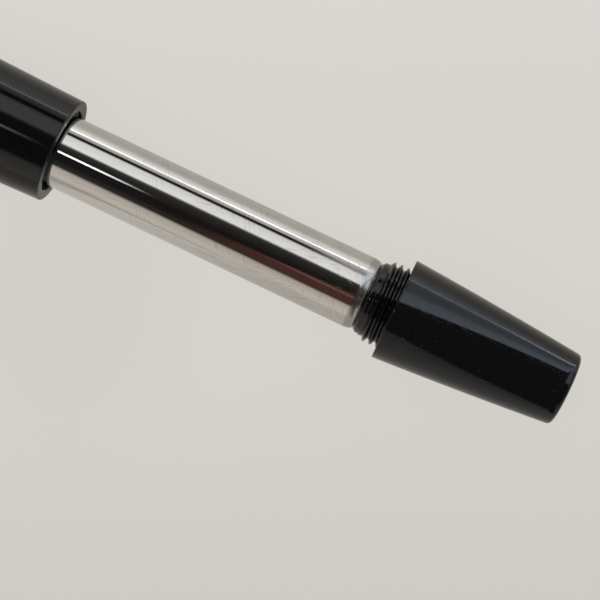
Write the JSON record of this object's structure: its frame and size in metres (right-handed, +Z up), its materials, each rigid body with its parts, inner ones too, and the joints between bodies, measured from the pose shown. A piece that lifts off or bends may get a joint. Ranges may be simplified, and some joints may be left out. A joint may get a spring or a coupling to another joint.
{
  "type": "lead holder",
  "caption": "Drafting lead holder for thick leads: gloss black barrel, screwed nose chuck, and a polished spare-lead magazine tube drawn out behind with its tapered threaded knob.",
  "frame": {"origin": "on the table under the middle of the holder as it lies on its barrel with the magazine drawn out", "axes": "+X along the holder's axis towards the tail knob, +Z up"},
  "size_m": [0.1978, 0.0134, 0.0134],
  "materials": {
    "black_resin": "polished black resin",
    "chrome_plate": "mirror-polished plate, lightly worn",
    "brass": "turned",
    "steel": "turned or drawn",
    "nylon": "moulded, satin",
    "rubber": "matt",
    "graphite": "graphite, dull metallic sheen"
  },
  "bodies": {
    "holder": {"barrel": "black_resin", "throat_o_ring": "rubber", "feed_funnel": "nylon", "lead_guide_tube": "brass", "chuck_body": "brass", "trim_ring": "chrome_plate", "grip_section": "black_resin", "collet": "steel", "collet_spring": "steel"},
    "guide": {"guide_bush": "nylon", "magazine_spring": "steel"},
    "spare_leads": {"spare_lead_1": "graphite", "spare_lead_2": "graphite", "spare_lead_3": "graphite", "spare_lead_4": "graphite", "spare_lead_5": "graphite", "spare_lead_6": "graphite", "spare_lead_7": "graphite"},
    "magazine": {"magazine_tube": "chrome_plate", "snap_ring": "steel", "tail_knob": "black_resin", "lead_cushion": "rubber"},
    "closer": {"closing_ring": "steel"},
    "nose": {"nose_cap": "chrome_plate"},
    "lead": {"lead": "graphite"}
  },
  "joints": [
    {"name": "magazine_slide", "type": "slide", "parent": "holder", "child": "guide", "axis": [1, 0, 0], "range_m": [-0.03903, 0]},
    {"name": "magazine_advance", "type": "slide", "parent": "guide", "child": "spare_leads", "axis": [1, 0, 0], "range_m": [-0.00253, 0], "deforming": ["magazine_spring"]},
    {"name": "magazine_screw", "type": "hinge", "parent": "spare_leads", "child": "magazine", "pos_m": [0.0764, 0, 0.0067], "axis": [1, 0, 0], "range_deg": [-1080, 0]},
    {"name": "nose_advance", "type": "slide", "parent": "holder", "child": "closer", "axis": [1, 0, 0], "range_m": [-0.00171, 0], "deforming": ["collet_spring"]},
    {"name": "nose_screw", "type": "hinge", "parent": "closer", "child": "nose", "pos_m": [-0.078, 0, 0.0067], "axis": [1, 0, 0], "range_deg": [-720, 0]},
    {"name": "lead_slide", "type": "slide", "parent": "holder", "child": "lead", "axis": [1, 0, 0], "range_m": [-0.006, 0.0065]}
  ],
  "couplings": [
    {"joint": "magazine_advance", "follows": "magazine_screw", "m_per_rad": 0.00013369},
    {"joint": "nose_advance", "follows": "nose_screw", "m_per_rad": 0.00013528}
  ]
}
